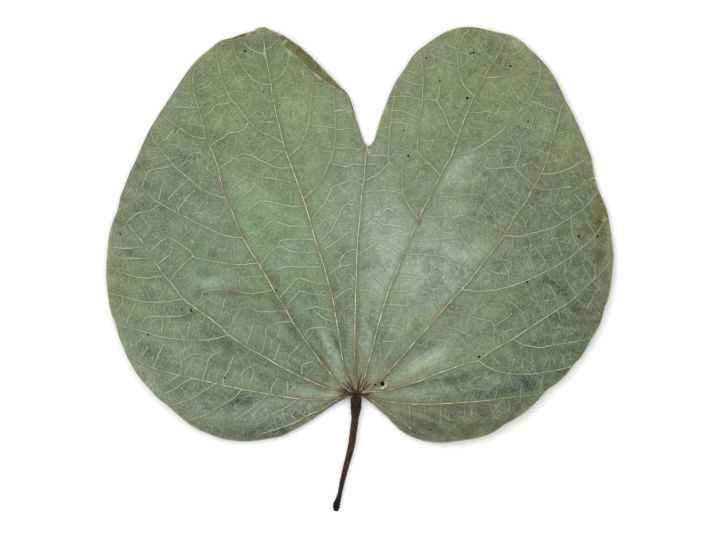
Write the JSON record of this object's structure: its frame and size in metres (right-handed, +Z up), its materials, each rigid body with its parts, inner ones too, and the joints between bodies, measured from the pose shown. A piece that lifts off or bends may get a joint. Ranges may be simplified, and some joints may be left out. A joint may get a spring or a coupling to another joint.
{
  "type": "dried bauhinia leaf",
  "caption": "Pressed two-lobed leaf lying with its ribbed underside up, its ribs fanning out from a short dark stalk at the base.",
  "frame": {"origin": "middle of the leaf's own rectangle, on the surface that it lies on", "axes": "+X across the leaf, +Y from the stalk towards the notch, +Z up from the surface, out of the ribbed underside"},
  "size_m": [0.1264, 0.1209, 0.0041],
  "materials": {
    "leaf_blade": "matt dried leaf with a pale bloom and tan ribs",
    "leaf_stalk": "dark brown, wrinkled, slightly satin"
  },
  "bodies": {
    "root": {"blade": "leaf_blade", "petiole": "leaf_stalk"}
  },
  "joints": []
}
